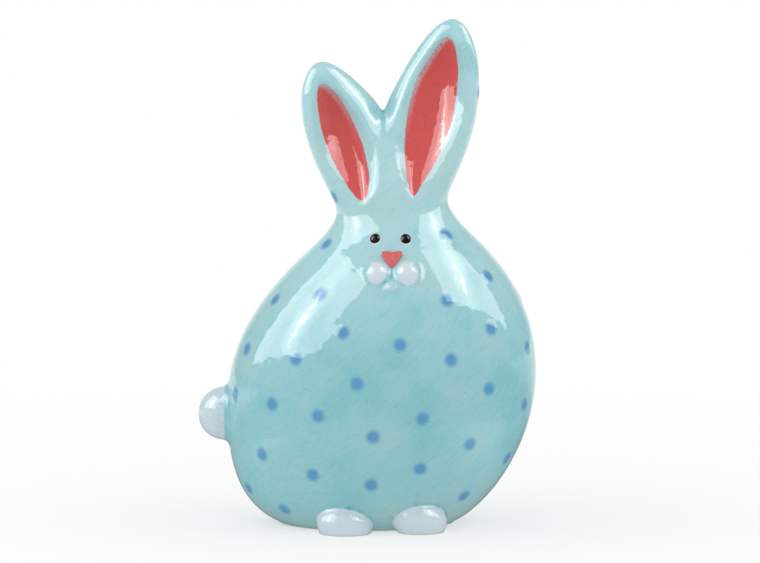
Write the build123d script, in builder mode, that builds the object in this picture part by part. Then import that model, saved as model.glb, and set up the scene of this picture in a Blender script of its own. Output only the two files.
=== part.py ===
"""Slip-cast rabbit ornament: a leaning egg of a body with two dished ears, toes, a round tail and a small face.

Sizes are in millimetres. The rabbit looks along -Y, +Z is up, and left and right are the viewer's.
The origin is on the ground, under the middle of the overall width.
"""

import math
import os

from build123d import *

# Body: its belly, and its base and neck as shares of the belly's width and depth
belly_width = 82.0
belly_depth = 62.0
belly_height = 35.5
belly_skew = 8.5  # the belly is widest this much higher on the right than on the left
base_share = 0.549
base_offset = 4.0  # the base stands this far to the left of the belly's middle
neck_share = 0.356
neck_height = 83.6
neck_skew = 3.4
neck_offset = 2.8  # the neck stands this far to the right of the belly's middle
base_width = belly_width * base_share
base_depth = belly_depth * base_share
neck_width = belly_width * neck_share
neck_depth = belly_depth * neck_share

# Pull of the outline curves at the base, the belly and the neck
underside_run = 10.5  # sideways
underside_depth_run = 6.0  # to the front and back
underside_rise = 4.0
belly_tuck = 17.5
shoulder_rise = 30.0
nape_drop = 7.0

# Casting wall, and the hole that lets the slip out and the kiln gas escape
wall = 3.5
floor_thickness = 4.0
crown_thickness = 7.0
drain_radius = 5.0

# Ears: their tips from the neck's middle, and the pull of the curves along their edges, as X and Z
left_ear_lean = 18.4
left_ear_height = 38.6
left_ear_bow = (-14.5, 20.4)
left_ear_inner_bow = (-5.4, 10.6)
left_ear_outer_pull = 6.8
left_ear_inner_pull = 8.0
right_ear_lean = 16.0
right_ear_height = 49.8
right_ear_bow = (14.6, 21.0)
right_ear_inner_bow = (6.5, 14.4)
right_ear_outer_pull = 7.4
right_ear_inner_pull = 9.7
ear_root_rise = 6.0
ear_thickness = 9.0
ear_turn = 18.0  # degrees that each ear's front is turned towards the other ear
ear_tip_taper = 8  # power of the taper that rounds the tip off, front to back

# Hollow in the front of each ear: its foot from the neck's middle and its top from the ear's tip, as X and Z
dish_depth = 3.8
dish_lift = 0.6  # the axis of the hollow runs this far in front of the ear
left_dish_foot = (-7.2, 0.0)
left_dish_top = (-0.2, -2.8)
left_dish_width = 14.5
right_dish_foot = (5.6, 0.9)
right_dish_top = (-0.8, -2.2)
right_dish_width = 18.0

# Coral glaze in the hollow: its ends are set back from those of the hollow
lining_thickness = 0.5
lining_foot_gap = 1.2
lining_top_gap = 1.3
lining_corner = 1.8
left_lining_width = 10.4
right_lining_width = 13.0

# Tail, stuck on the left flank
tail_radius = 7.2
tail_height = 29.0
tail_reach = 7.7  # how far the tail stands out past the belly

# Toes under the front of the body
toe_radius = 7.6
toe_height = 8.6
toe_spacing = 19.9
toe_offset = 4.5  # the toes' middle stands this far to the right of the base's middle
left_toe_forward = 2.0  # from the front edge of the base
right_toe_forward = -1.4

# Face: how far each feature lies below the neck, and how far apart the paired ones are
face_offset = -0.1
eye_radius = 1.4
eye_rise = 0.6
eye_spacing = 8.0
eye_offset = -0.4  # from the face's middle line
eye_drop = 7.1
nose_width = 6.4
nose_length = 5.2
nose_thickness = 0.9
nose_corner = 0.7
nose_drop = 13.0
cheek_radius = 3.6
cheek_sink = 1.1
cheek_spacing = 8.1
cheek_drop = 15.5
chin_radius = 1.9
chin_sink = 0.7
chin_drop = 19.0

# Stations along the outlines, from 0 at the start to 1 at the end, where a section is drawn
BODY_STATIONS = (0, 0.07, 0.16, 0.27, 0.38, 0.5, 0.62, 0.74, 0.85, 0.93, 1)
CAVITY_STATIONS = BODY_STATIONS[1:-1]
EAR_STATIONS = (0, 0.1, 0.22, 0.36, 0.5, 0.64, 0.77, 0.88, 0.95)
DISH_STATIONS = (0.06, 0.2, 0.35, 0.5, 0.65, 0.8, 0.94)

# Points of the front view. Tail and belly reach equally far to the two sides of the origin
belly_x = tail_reach / 2
base_x = belly_x - base_offset
neck_x = belly_x + neck_offset
base_left = Vector(base_x - base_width / 2, 0, 0)
base_right = Vector(base_x + base_width / 2, 0, 0)
belly_left = Vector(belly_x - belly_width / 2, 0, belly_height - belly_skew / 2)
belly_right = Vector(belly_x + belly_width / 2, 0, belly_height + belly_skew / 2)
neck_left = Vector(neck_x - neck_width / 2, 0, neck_height - neck_skew / 2)
neck_right = Vector(neck_x + neck_width / 2, 0, neck_height + neck_skew / 2)
left_ear_tip = Vector(neck_x - left_ear_lean, 0, neck_height + left_ear_height)
right_ear_tip = Vector(neck_x + right_ear_lean, 0, neck_height + right_ear_height)
neck_middle = (neck_left + neck_right) / 2


def shifted(point, shift):
    """Point of the front view moved by a shift given as X and Z."""
    x, z = shift
    return point + Vector(x, 0, z)


def body_outline(base, belly, neck, run):
    """Curve from the base over the belly to the neck; run is how far the underside spreads, with its sign."""
    with BuildLine() as outline:
        Bezier(base, shifted(base, (run, underside_rise)), shifted(belly, (0, -belly_tuck)), belly)
        Bezier(belly, shifted(belly, (0, shoulder_rise)), shifted(neck, (0, -nape_drop)), neck)
    return outline.wire()


def ear_outer_edge(root, bow, tip, tip_pull):
    """Curve along the outer edge of an ear, which leaves the neck straight up."""
    with BuildLine() as outline:
        Bezier(root, shifted(root, (0, ear_root_rise)), shifted(root, bow), shifted(tip, (tip_pull, 0)), tip)
    return outline.edge()


def ear_inner_edge(root, bow, tip, tip_pull):
    """Curve along the inner edge of an ear, which starts on the far side of the neck."""
    with BuildLine() as outline:
        Bezier(root, shifted(root, bow), shifted(tip, (tip_pull, 0)), tip)
    return outline.edge()


def oval(left, right, half_depth):
    """Elliptical section between a left and a right point of the outline."""
    across = right - left
    plane = Plane(origin=(left + right) / 2, x_dir=across, z_dir=across.cross(Vector(0, 1, 0)))
    with BuildSketch(plane) as section:
        Ellipse(across.length / 2, half_depth)
    return section.sketch.face()


def front_seat(form, point):
    """Plane on the front of a solid, straight in front of a point, facing outwards."""
    line_of_sight = Axis((point.X, -belly_depth, point.Z), (0, 1, 0))
    seat, normal = form.shell().find_intersection_points(line_of_sight)[0]
    return Plane(origin=seat, x_dir=(1, 0, 0), z_dir=normal)


os.makedirs("parts", exist_ok=True)

# The body's outer form, closed at the neck by the seat for the ears
left_outline = body_outline(base_left, belly_left, neck_left, -underside_run)
right_outline = body_outline(base_right, belly_right, neck_right, underside_run)
depth_outline = body_outline(
    Vector(base_depth / 2, 0, 0),
    Vector(belly_depth / 2, 0, belly_height),
    Vector(neck_depth / 2, 0, neck_height),
    underside_depth_run,
)

with BuildPart() as body_form:
    loft(sections=[oval(left_outline @ s, right_outline @ s, (depth_outline @ s).X) for s in BODY_STATIONS])

# The hollow that the drained slip leaves
with BuildPart() as cavity:
    wall_shift = Vector(wall, 0, 0)
    loft(
        sections=[
            oval(
                left_outline @ s + wall_shift,
                right_outline @ s - wall_shift,
                (depth_outline @ s).X - wall,
            )
            for s in CAVITY_STATIONS
        ]
    )
    split(bisect_by=Plane.XY.offset(floor_thickness), keep=Keep.TOP)
    split(bisect_by=Plane.XY.offset(neck_height - crown_thickness), keep=Keep.BOTTOM)

with BuildPart() as body_shell:
    add(body_form.part)
    add(cavity.part, mode=Mode.SUBTRACT)
    with Locations((base_x, 0, 0)):
        Cylinder(drain_radius, 2 * floor_thickness + wall, mode=Mode.SUBTRACT)

# Edges of the ears in the front view. The ears part where their inner edges cross
left_ear_outer = ear_outer_edge(neck_left, left_ear_bow, left_ear_tip, -left_ear_outer_pull)
left_ear_inner = ear_inner_edge(neck_right, left_ear_inner_bow, left_ear_tip, left_ear_inner_pull)
right_ear_outer = ear_outer_edge(neck_right, right_ear_bow, right_ear_tip, right_ear_outer_pull)
right_ear_inner = ear_inner_edge(neck_left, right_ear_inner_bow, right_ear_tip, -right_ear_inner_pull)
crotch = left_ear_inner.find_intersection_points(right_ear_inner)[0]
crease = Plane.YZ.offset(crotch.X)


def ear_form(left_edge, right_edge, tip, turn, side):
    """Solid ear between its two edges, turned by an angle, cut on the crease; side is the half that is kept."""
    sections = []
    for station in EAR_STATIONS:
        left = left_edge @ station
        right = right_edge @ station
        root_share = (1 - station) ** 3 * (1 + 3 * station)
        thickness = ear_thickness + (neck_depth - ear_thickness) * root_share
        taper = 1 - station**ear_tip_taper
        swing = (right - left) / 2 * math.tan(math.radians(turn)) * (1 - root_share)
        back = Vector(0, swing.length * math.copysign(1, turn), 0)
        sections.append(oval(left - back, right + back, thickness / 2 * taper))
    with BuildPart() as ear:
        loft(sections=[*sections, Vertex(*tip)])
        split(bisect_by=crease, keep=side)
    return ear.part


def dish_tool(start, end, inward, width):
    """Leaf-shaped solid along a line on the front of an ear; its half that points inward hollows the ear."""
    along = end - start
    sections = []
    for station in DISH_STATIONS:
        swell = 1 - (2 * station - 1) ** 2
        plane = Plane(origin=start + along * station, x_dir=along.cross(inward), z_dir=along)
        with BuildSketch(plane) as section:
            Ellipse(width / 2 * swell, dish_depth * swell)
        sections.append(section.sketch.face())
    with BuildPart() as tool:
        loft(sections=[Vertex(*start), *sections, Vertex(*end)])
    return tool.part


def dished_ear(form, foot, top, dish_width, lining_width):
    """Ear with its hollow, and the coat of coral glaze that is let into the bottom of the hollow."""
    start = front_seat(form, foot).offset(dish_lift).origin
    end = front_seat(form, top).offset(dish_lift).origin
    inward = -front_seat(form, (foot + top) / 2).z_dir
    deeper = inward * lining_thickness
    hollow = dish_tool(start, end, inward, dish_width)
    upward = (top - foot).normalized()
    lining_foot = foot + upward * lining_foot_gap
    lining_top = top - upward * lining_top_gap

    with BuildPart() as pocket:
        with BuildSketch(Plane.XZ):
            with BuildLine():
                SagittaArc((lining_foot.X, lining_foot.Z), (lining_top.X, lining_top.Z), lining_width / 2)
                SagittaArc((lining_top.X, lining_top.Z), (lining_foot.X, lining_foot.Z), lining_width / 2)
            make_face()
            fillet(vertices(), lining_corner)
        extrude(amount=neck_depth)
        add(dish_tool(start + deeper, end + deeper, inward, dish_width), mode=Mode.INTERSECT)

    with BuildPart() as lining:
        add(pocket.part)
        add(hollow, mode=Mode.SUBTRACT)

    with BuildPart() as ear:
        add(form)
        add(hollow, mode=Mode.SUBTRACT)
        add(pocket.part, mode=Mode.SUBTRACT)
    return ear, lining


left_ear_form = ear_form(left_ear_outer, left_ear_inner, left_ear_tip, ear_turn, Keep.BOTTOM)
left_ear, left_ear_lining = dished_ear(
    left_ear_form,
    shifted(neck_middle, left_dish_foot),
    shifted(left_ear_tip, left_dish_top),
    left_dish_width,
    left_lining_width,
)
right_ear_form = ear_form(right_ear_inner, right_ear_outer, right_ear_tip, -ear_turn, Keep.TOP)
right_ear, right_ear_lining = dished_ear(
    right_ear_form,
    shifted(neck_middle, right_dish_foot),
    shifted(right_ear_tip, right_dish_top),
    right_dish_width,
    right_lining_width,
)

# The tail is a ball on the flank, cut to the body's curve
with BuildPart() as tail:
    with Locations((belly_left.X - tail_reach + tail_radius, 0, tail_height)):
        Sphere(tail_radius)
    add(body_form.part, mode=Mode.SUBTRACT)


# The toes are cut by the body with its base run on downwards, so that they end at the edge of the base
with BuildPart() as toe_cutter:
    add(body_form.part)
    extrude(body_form.faces().sort_by(Axis.Z)[0], amount=2 * toe_height)


def toe(x, forward):
    """Half of an upright egg that stands on the ground, cut to the body's underside."""
    with BuildPart() as dome:
        with Locations((x, -base_depth / 2 - forward, 0)):
            Sphere(toe_radius)
        scale(by=(1, 1, toe_height / toe_radius))
        add(toe_cutter.part, mode=Mode.SUBTRACT)
        split(bisect_by=Plane.XY, keep=Keep.TOP)
    return dome


left_toe = toe(base_x + toe_offset - toe_spacing / 2, left_toe_forward)
right_toe = toe(base_x + toe_offset + toe_spacing / 2, right_toe_forward)


def face_seat(across, drop):
    """Seat on the face, a distance across from its middle line and a drop below the neck."""
    return front_seat(body_form.part, Vector(neck_x + face_offset + across, 0, neck_height - drop))


# The nose is a rounded triangle, point down, that lies on the face
with BuildPart() as nose:
    with BuildSketch(face_seat(0, nose_drop)):
        with BuildLine():
            Polyline(
                (-nose_width / 2, nose_length / 2),
                (nose_width / 2, nose_length / 2),
                (0, -nose_length / 2),
                close=True,
            )
        make_face()
        fillet(vertices(), nose_corner)
    extrude(amount=nose_thickness, both=True)
    add(body_form.part, mode=Mode.SUBTRACT)


def bead(seat, radius, sink, cutters):
    """Ball sunk into the face, of which the part that stands out is kept, cut to the pieces that lie over it."""
    with BuildPart() as ball:
        with Locations(seat.offset(-sink)):
            Sphere(radius)
        for cutter in (body_form, *cutters):
            add(cutter.part, mode=Mode.SUBTRACT)
    return ball


left_cheek = bead(face_seat(-cheek_spacing / 2, cheek_drop), cheek_radius, cheek_sink, [nose])
right_cheek = bead(face_seat(cheek_spacing / 2, cheek_drop), cheek_radius, cheek_sink, [nose])
chin = bead(face_seat(0, chin_drop), chin_radius, chin_sink, [left_cheek, right_cheek])

eye_ball_radius = (eye_radius**2 + eye_rise**2) / (2 * eye_rise)
eye_sink = eye_ball_radius - eye_rise
left_eye = bead(face_seat(eye_offset - eye_spacing / 2, eye_drop), eye_ball_radius, eye_sink, [])
right_eye = bead(face_seat(eye_offset + eye_spacing / 2, eye_drop), eye_ball_radius, eye_sink, [])

pieces = {
    "body_shell": body_shell,
    "left_ear": left_ear,
    "left_ear_lining": left_ear_lining,
    "right_ear": right_ear,
    "right_ear_lining": right_ear_lining,
    "tail": tail,
    "left_toe": left_toe,
    "right_toe": right_toe,
    "nose": nose,
    "left_cheek": left_cheek,
    "right_cheek": right_cheek,
    "chin": chin,
    "left_eye": left_eye,
    "right_eye": right_eye,
}
for name, piece in pieces.items():
    piece.part.label = name
    export_step(piece.part, f"parts/{name}.step")
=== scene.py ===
"""Looks of a glazed rabbit ornament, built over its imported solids.

The parts of the figure are fused into one skin, softened as glaze softens them, and cut apart again into pieces.
Colour follows distances that are stored on the skin, so that a brush stroke may cross a cut between two pieces.
"""

import math
import random
from contextlib import contextmanager
from functools import partial

import bpy
import numpy as np
from bpy.props import FloatProperty, FloatVectorProperty, IntProperty, PointerProperty
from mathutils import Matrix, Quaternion, Vector
from mathutils.bvhtree import BVHTree


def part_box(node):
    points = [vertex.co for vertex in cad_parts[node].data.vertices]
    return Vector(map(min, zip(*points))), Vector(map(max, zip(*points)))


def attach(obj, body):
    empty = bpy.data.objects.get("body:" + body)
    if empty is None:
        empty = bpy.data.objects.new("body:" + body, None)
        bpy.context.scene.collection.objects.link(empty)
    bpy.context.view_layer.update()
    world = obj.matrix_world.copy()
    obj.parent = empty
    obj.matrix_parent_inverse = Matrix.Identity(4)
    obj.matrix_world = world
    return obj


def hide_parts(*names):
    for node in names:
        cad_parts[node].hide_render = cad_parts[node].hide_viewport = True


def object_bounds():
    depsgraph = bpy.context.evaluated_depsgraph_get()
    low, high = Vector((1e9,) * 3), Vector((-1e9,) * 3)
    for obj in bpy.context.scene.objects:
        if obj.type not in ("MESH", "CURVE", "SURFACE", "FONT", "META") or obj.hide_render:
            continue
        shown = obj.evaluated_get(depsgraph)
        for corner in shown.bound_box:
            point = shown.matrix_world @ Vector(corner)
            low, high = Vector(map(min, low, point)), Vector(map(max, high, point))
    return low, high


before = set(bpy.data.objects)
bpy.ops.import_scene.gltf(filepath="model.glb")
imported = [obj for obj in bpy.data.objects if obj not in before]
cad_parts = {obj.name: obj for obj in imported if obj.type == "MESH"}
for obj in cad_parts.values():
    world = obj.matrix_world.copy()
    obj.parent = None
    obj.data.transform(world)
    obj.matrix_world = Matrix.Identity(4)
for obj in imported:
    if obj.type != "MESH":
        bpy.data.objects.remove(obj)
solid_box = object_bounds()

bl_info = {
    "name": "Glazed rabbit",
    "version": (1, 0, 0),
    "blender": (4, 5, 0),
    "location": "View3D > Sidebar > Rabbit",
    "description": "Models a glazed rabbit ornament over its solids",
    "category": "Add Mesh",
}

MM = 0.001
FAR = 9.0  # millimetres that count as far from any colour
WHITE = (1, 1, 1, 1)

# Materials of the pieces by the record's slots
FINISHES = {
    "turquoise_glaze": "dotted_turquoise",
    "white_glaze": "brushed_white",
    "coral_glaze": "brushed_coral",
    "black_glaze": "black_drop",
}

# The flat on which the ears stand: its middle, and how far it rises over the neck's width
NECK_MIDDLE = (6.65 * MM, 0, 83.6 * MM)
NECK_RISE = 3.4 / 29.2

# Parts that the glaze covers in one skin
SKIN_PARTS = (
    "body_shell",
    "left_ear",
    "right_ear",
    "left_ear_lining",
    "right_ear_lining",
    "tail",
    "left_toe",
    "right_toe",
    "left_cheek",
    "right_cheek",
    "chin",
)
EYES = ("left_eye", "right_eye")

# Eggs that the toes are rounded to: middle and radii in millimetres, and turns about Y and Z in degrees
TOES = {
    "left_toe": ((-5.8, -20.6, 2.3), (7.4, 6.6, 5.5), (6, 5)),
    "right_toe": ((13.7, -18.8, 3.2), (7.5, 6.3, 5.4), (10, 10)),
}

# The photograph: its size, and how the camera stood
PHOTO_WIDTH = 760
PHOTO_HEIGHT = 563
CAMERA_DISTANCE = 1.1
CAMERA_ELEVATION = 5.5
CAMERA_AIM = (0.003454, 0.00610, 0.06334)
FRAME_SPAN = 0.2019
SENSOR_WIDTH = 36.0
PIXELS_PER_MM = PHOTO_WIDTH / FRAME_SPAN * MM

# Pixels of the photograph at the middle of each dot
DOT_PIXELS = (
    (326.6, 244), (275, 299.6), (320, 294), (247, 349), (343, 333), (296, 359), (400, 345), (451, 360),
    (446.6, 235), (488, 276), (447, 300.6), (491, 328.5), (527.5, 348), (357, 384), (272, 404), (235, 394.6),
    (318, 416), (373, 437), (422.6, 419), (489, 389), (524.5, 404), (470, 444), (262, 454.5), (312.6, 475),
    (371, 485), (420, 469), (507, 458), (464, 496), (284.7, 509.5), (248.5, 488),
)

# Pixels at the edges of the ears behind which another dot begins
EAR_BACK_DOT_PIXELS = ((336.5, 195), (476.5, 92))

# Rows of dots where the photograph doesn't look: rows in one spacing, places tried in one turn, height by which a
# dot may stray in millimetres, shares of the spacing that stay free between dots and around the tail, and how far a
# dot may stray at the ears' backs, where half a spacing is tried at a time
DOT_ROWS = 1.15
DOT_TURNS = 24
DOT_STRAY = 1.2
DOT_APART = 0.92
DOT_TAIL_APART = 0.75
EAR_DOT_STRAY = 0.1

# The ears: pixels along the edge of the coral, clockwise from its top, which way along X the other ear stands, and
# where the hollow is deepest, as a share of the coral's width from its outer edge
EARS = {
    "left_ear": (
        (
            (322.5, 83.7), (328.5, 86.3), (339.9, 98.4), (352, 119.2), (362.7, 145.3), (368.3, 169.4), (369, 184),
            (367, 195), (362.5, 200.5), (357, 198.5), (348, 186.9), (333.9, 162.7), (323.2, 135.3), (318.5, 113.2),
            (317, 97), (318.6, 86),
        ),
        1,
        0.6,
    ),
    "right_ear": (
        (
            (448, 37.3), (452.3, 39.6), (456.1, 51.5), (458.2, 70), (457, 90.4), (453.4, 114.5), (446.7, 138.6),
            (435.3, 162.7), (421.9, 184.2), (414, 196), (408.2, 185.5), (405, 160.1), (405.1, 133.3), (408.8, 106.5),
            (416.5, 79.7), (429.9, 56.9), (440.2, 42), (443.6, 38.2),
        ),
        -1,
        0.42,
    ),
}

# Pixels over which the brush ran dry at the inner upper edge of the coral, and rows between which that fades
FEATHER_SHIFT = 3
FEATHER_ROWS = (80, 150)

# White on the chin and the cheeks: middle and half widths in pixels and tilt in degrees, and the most that the
# colour counts as inside in millimetres, which leaves the chin thinly covered
FACE_WHITES = {
    "chin": ((391.3, 286.5, 5.6, 4.4, 0), -0.06),
    "left_cheek": ((377.2, 272.6, 9.6, 11.6, 24), FAR),
    "right_cheek": ((407.4, 273.0, 10.4, 12.4, -16), FAR),
}

# How far outside a colour, in millimetres, the cut around its piece runs
CUT_MARGIN = 0.5

# Where glaze gathers, as ranges over which it fades in millimetres: from the notch, from the face's middle line at
# the neck, from the chin, the crease and the tail's foot; and rings around a toe as shares of its radii
NOTCH_FADE = (0.5, 4.5)
FLANK_FADE = (7, 12)
CHIN_FADE = (1.5, 3)
CREASE_FADE = (1.5, 4)
TAIL_FADE = (0.5, 3.5)
TOE_RING_START = (0.98, 1.1)
TOE_RING_END = (1.15, 1.45)

# Rounds of smoothing for these places, for the inner rims of the ears and for their hollows
SEAM_ROUNDS = 40
RIM_ROUNDS = 120
HOLLOW_ROUNDS = 45

# Share of the drained cavity's faces that its plain shape doesn't need
CAVITY_SPARE = 0.94

# Patterns in the glaze in features to the metre, and its relief in millimetres
CLOUDS = 60
STROKES = 1500
GRAIN = 3200
SPECKS = 150
SHEEN = 240
WAVES = 130
PEEL = 480
WAVE_HEIGHT = 0.13
PEEL_HEIGHT = 0.035
PIT_DEPTH = 0.06
SPECK_DEPTH = 0.03

# Soft boxes: azimuth, elevation and roll in degrees, width and height in metres; which way across the box is
# outwards, the share of the width by which its outer edge is cut aslant at the top, and the tube's place across and
# along the box, and its reach, as shares of the width and the height
SOFT_BOXES = {
    "left": ((-81, 37.5, 13), (1.0, 0.65), -1, 0.28, (-0.08, -0.1, 0.2)),
    "right": ((86, 42.4, -36), (0.86, 0.51), 1, 0.5, (-0.14, 0.0, 0.22)),
}
BOX_AIM = (0.004, 0, 0.06)
LIGHT_DISTANCE = 0.80
FRONT_DISTANCE = 0.79

# Brightness of a soft box's light, and of its front as the glaze mirrors it; glow and core of its tube over the front
LIGHT_LEVEL = 0.62
FRONT_LEVEL = 3.9
TUBE_GLOW = 1.3
TUBE_CORE = 6.0
GLOW_WIDTH = 0.18
CORE_WIDTH = 0.024

# Light from all round, and the walls of the studio as the glaze mirrors them
SURROUND_LIGHT = (0.9, 0.9, 0.9, 1)
STUDIO_GREY = (0.2, 0.2, 0.2, 1)
TABLE_GREY = (0.9, 0.9, 0.9, 1)
TABLE_GLOW = 0.42
TABLE_RADIUS = 9

# White sheet on the table as the glaze mirrors it: its radius and the unevenness of its edge in metres, and where
# the middle of the gap in it lies along X
SHEET_RADIUS = 0.108
SHEET_WEAR = 0.03
SHEET_GAP_X = -0.018


def linear(red, green, blue):
    """Linear colour from the 0 to 255 values of a screen colour."""
    shares = (value / 255 for value in (red, green, blue))
    return tuple(s / 12.92 if s <= 0.04045 else ((s + 0.055) / 1.055) ** 2.4 for s in shares)


def colour(name, description, red, green, blue):
    """Colour property with a screen colour as its default."""
    return FloatVectorProperty(
        name=name, description=description, default=linear(red, green, blue), subtype="COLOR", min=0, max=1
    )


def length(name, description, millimetres):
    """Length property with a default in millimetres."""
    return FloatProperty(
        name=name, description=description, default=millimetres * MM, min=0, precision=5, unit="LENGTH"
    )


class RabbitSizes(bpy.types.PropertyGroup):
    """Sizes of the glazed surface."""

    skin_detail: length("Skin detail", "Size of the cells that the glaze skin is made of", 0.6)
    softening: IntProperty(
        name="Softening", description="Rounds of smoothing that the glaze gives to creases", default=8, min=0
    )
    wobble: length("Wobble", "Height of the unevenness that casting and glazing leave", 0.12)
    dot_radius: length("Dot radius", "Radius at which half of a dot's blue is gone", 1.7)
    dot_rise: length("Dot rise", "How far a dot stands out of the glaze", 0.15)
    dot_spacing: length("Dot spacing", "Distance between the dots at the back", 14.5)
    lining_thickness: length("Lining thickness", "Thickness of the coral coat in the ears", 0.4)
    tail_edge: FloatProperty(
        name="Tail edge", description="Where the white of the tail ends, along X", default=-37.6 * MM, unit="LENGTH"
    )
    toe_margin: length("Toe margin", "Turquoise that is left between a toe's white and the body", 0.7)
    ear_hollow: length("Ear hollow", "How much deeper the hollow of an ear is towards its outer edge", 3.2)
    notch_depth: length("Notch depth", "How far the glaze opens the notch between the ears", 0.7)
    neck_softening: length("Neck softening", "Reach of the glaze that fills the neck", 6.5)
    eye_ring: length("Eye ring", "Width of the pale ring around each eye", 0.3)
    eye_stretch: FloatProperty(
        name="Eye stretch", description="Height of an eye drop over its width", default=1.22, min=1, max=2
    )
    nose_dip: length("Nose dip", "Depth of the dip in the top edge of the nose", 0.2)
    nose_stretch: FloatProperty(
        name="Nose stretch", description="Height of the nose over that of its solid", default=1.14, min=1, max=2
    )


class RabbitColours(bpy.types.PropertyGroup):
    """Colours of the glazes."""

    turquoise: colour("Turquoise", "Glaze of the body", 142, 200, 207)
    # Mixed in more and more towards the top: partly glaze that runs thin on the neck and ears, partly painted light
    # from above
    pale: colour("Pale turquoise", "Glaze of the face, the neck and the ears", 178, 221, 226)
    pooled: colour("Pooled turquoise", "Glaze where it gathers in creases", 88, 176, 186)
    # Also mixed in near the base, where it is partly painted light from below
    thin: colour("Thin turquoise", "Glaze where the brush left it thin", 190, 205, 200)
    dots: colour("Dots", "Blue dots", 94, 153, 196)
    white: colour("White", "Tail, toes and cheeks", 213, 224, 233)
    coral: colour("Coral", "Ear linings and nose", 217, 85, 82)
    black: colour("Black", "Eyes", 14, 13, 15)
    bisque: colour("Bisque", "Unglazed clay under the base", 214, 204, 190)


# Photograph


def camera_axes():
    """Place of the camera, and the directions to its right, upwards and forwards."""
    tilt = math.radians(CAMERA_ELEVATION)
    right = Vector((1, 0, 0))
    up = Vector((0, math.sin(tilt), math.cos(tilt)))
    forward = Vector((0, math.cos(tilt), -math.sin(tilt)))
    return Vector(CAMERA_AIM) - forward * CAMERA_DISTANCE, right, up, forward


def seen_at(tree, pixel):
    """Place of the figure that a pixel of the photograph shows."""
    eye, right, up, forward = camera_axes()
    across = (pixel[0] - PHOTO_WIDTH / 2) / PHOTO_WIDTH * FRAME_SPAN
    above = (PHOTO_HEIGHT / 2 - pixel[1]) / PHOTO_WIDTH * FRAME_SPAN
    place = tree.ray_cast(eye, (forward * CAMERA_DISTANCE + right * across + up * above).normalized())[0]
    if place is None:
        raise RuntimeError(f"The dot at {pixel} misses the figure")
    return place


def photo_pixels(points):
    """Pixels of the photograph where points of the figure appear."""
    eye, right, up, forward = (np.array(v) for v in camera_axes())
    seen = points - eye
    scale = CAMERA_DISTANCE / (seen @ forward) * PHOTO_WIDTH / FRAME_SPAN
    return np.stack([PHOTO_WIDTH / 2 + seen @ right * scale, PHOTO_HEIGHT / 2 - seen @ up * scale], axis=1)


def inside_oval(pixels, oval):
    """Millimetres that each pixel lies inside a tilted oval, less than zero outside."""
    x, y, half_width, half_height, tilt = oval
    turn = math.radians(tilt)
    dx = pixels[:, 0] - x
    dy = pixels[:, 1] - y
    across = (dx * math.cos(turn) + dy * math.sin(turn)) / half_width
    along = (dy * math.cos(turn) - dx * math.sin(turn)) / half_height
    return (1 - np.hypot(across, along)) * (half_width + half_height) / 2 / PIXELS_PER_MM


def rounded_outline(corners, steps=6):
    """Closed smooth line through the corners of an outline."""
    points = np.array(corners, float)
    before, after, beyond = np.roll(points, 1, 0), np.roll(points, -1, 0), np.roll(points, -2, 0)
    square = 2 * before - 5 * points + 4 * after - beyond
    cube = 3 * points - before - 3 * after + beyond
    line = [
        0.5 * (2 * points + (after - before) * t + square * t**2 + cube * t**3)
        for t in (step / steps for step in range(steps))
    ]
    return np.stack(line, axis=1).reshape(-1, 2)


def inside_outline(pixels, corners):
    """Millimetres that each pixel lies inside a smooth outline, less than zero outside."""
    start = rounded_outline(corners)
    end = np.roll(start, -1, 0)
    nearest = np.full(len(pixels), np.inf)
    inside = np.zeros(len(pixels), bool)
    for a, b in zip(start, end):
        run = b - a
        share = np.clip(((pixels - a) @ run) / (run @ run), 0, 1)
        nearest = np.minimum(nearest, np.hypot(*(pixels - a - share[:, None] * run).T))
        if a[1] != b[1]:
            spans = (a[1] > pixels[:, 1]) != (b[1] > pixels[:, 1])
            crossing = a[0] + (pixels[:, 1] - a[1]) * run[0] / run[1]
            inside ^= spans & (pixels[:, 0] < crossing)
    return np.where(inside, nearest, -nearest) / PIXELS_PER_MM


def across_outline(pixels, corners):
    """Share of the way from the left to the right edge of an outline at each pixel's height."""
    line = rounded_outline(corners)
    line = np.roll(line, -line[:, 1].argmin(), axis=0)
    bottom = line[:, 1].argmax()
    right = line[: bottom + 1]
    left = np.vstack([line[bottom:], line[:1]])[::-1]
    left_x = np.interp(pixels[:, 1], left[:, 1], left[:, 0])
    right_x = np.interp(pixels[:, 1], right[:, 1], right[:, 0])
    return (pixels[:, 0] - left_x) / np.maximum(right_x - left_x, 1)


def rise(values, low, high):
    """Smooth rise from 0 to 1 between two limits."""
    share = np.clip((values - low) / (high - low), 0, 1)
    return share * share * (3 - 2 * share)


def fade(values, low, high):
    """Smooth fall from 1 to 0 between two limits."""
    return 1 - rise(values, low, high)


# Mesh


def middle_of(name):
    """Middle of a solid's box."""
    low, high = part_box(name)
    return (low + high) / 2


def crease_x():
    """Where the crease between the ears lies along X."""
    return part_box("left_ear")[1].x


def surface(mesh):
    """Tree for finding places on a mesh."""
    return BVHTree.FromPolygons([v.co for v in mesh.vertices], [tuple(p.vertices) for p in mesh.polygons])


def only(piece):
    """Select one object and nothing else."""
    bpy.ops.object.select_all(action="DESELECT")
    piece.select_set(True)
    bpy.context.view_layer.objects.active = piece


@contextmanager
def editing(piece):
    """Edit mode of one object, which leaves the selection in it as it is."""
    only(piece)
    bpy.ops.object.mode_set(mode="EDIT")
    yield
    bpy.ops.object.mode_set(mode="OBJECT")


def copy_of_parts(names, label):
    """One object with copies of some solids, each with its vertices merged."""
    copies = []
    for name in names:
        copy = bpy.data.objects.new(label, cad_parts[name].data.copy())
        copy.data.materials.clear()
        bpy.context.scene.collection.objects.link(copy)
        with editing(copy):
            bpy.ops.mesh.select_all(action="SELECT")
            bpy.ops.mesh.remove_doubles(threshold=0.001 * MM)
        copies.append(copy)
    for copy in copies:
        copy.select_set(True)
    if len(copies) > 1:
        bpy.ops.object.join()
    return bpy.context.object


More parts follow.
